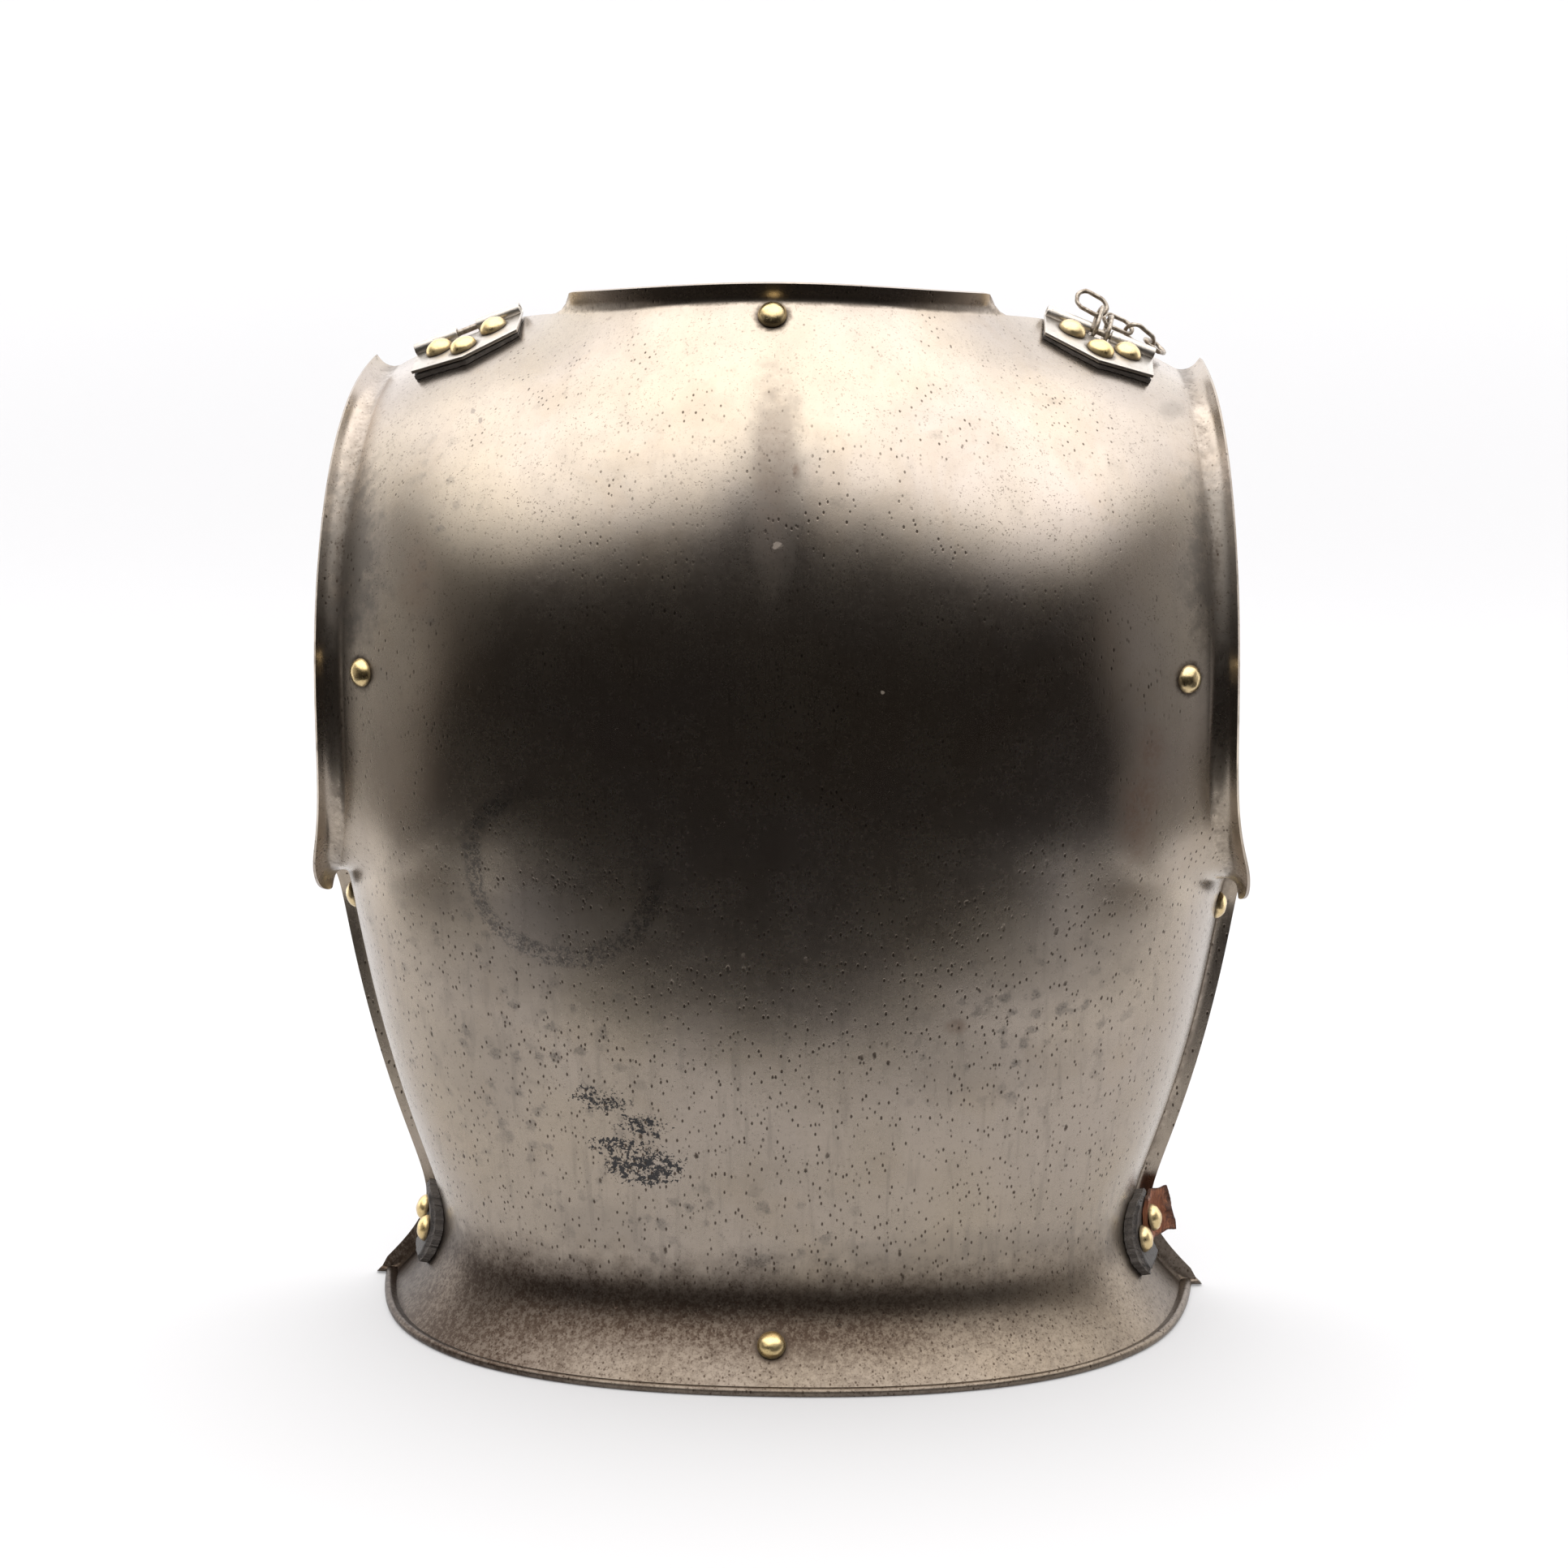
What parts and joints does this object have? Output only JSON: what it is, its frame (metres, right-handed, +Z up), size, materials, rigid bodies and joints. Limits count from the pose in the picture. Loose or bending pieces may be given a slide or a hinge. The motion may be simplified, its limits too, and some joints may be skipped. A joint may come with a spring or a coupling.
{
  "type": "cuirass backplate",
  "caption": "Steel back half of a horseman's breast armour with flared waist, rolled edges, brass rivets, shoulder strap plates and torn leather.",
  "frame": {"origin": "middle of the foot of the part's bounding box, on the surface it stands on", "axes": "+Z up, the back faces -Y, the open side faces +Y, and +X is the wearer's right"},
  "size_m": [0.3888, 0.159, 0.4441],
  "materials": {
    "plate_steel": "worn polished steel, pitted and stained",
    "strap_steel": "scratched pale steel",
    "brass": "polished by wear",
    "iron": "brown and dull",
    "dark_leather": "dry and worn",
    "red_leather": "dry, fibrous and torn"
  },
  "bodies": {
    "root": {"back_plate": "plate_steel", "rivet_neck": "brass", "rivet_arm_left": "brass", "rivet_arm_right": "brass", "rivet_side_left": "brass", "rivet_side_right": "brass", "rivet_waist": "brass", "rivet_tab_left_neck_end": "brass", "rivet_tab_left_arm_end": "brass", "rivet_tab_left_point": "brass", "rivet_tab_right_neck_end": "brass", "rivet_tab_right_arm_end": "brass", "rivet_tab_right_point": "brass", "rivet_patch_left_back": "brass", "rivet_patch_left_front": "brass", "rivet_patch_right_back": "brass", "rivet_patch_right_front": "brass", "strap_plate_left": "strap_steel", "strap_plate_right": "strap_steel", "hinge_pin_left": "iron", "hinge_pin_right": "iron", "strap_pad_left": "dark_leather", "strap_pad_right": "dark_leather", "chain_pin_a": "iron", "chain_pin_b": "iron", "chain_run_1": "iron", "chain_run_2": "iron", "chain_run_3": "iron", "chain_loop": "iron", "waist_patch_left": "dark_leather", "waist_patch_right": "dark_leather", "strap_stub": "red_leather"}
  },
  "joints": []
}
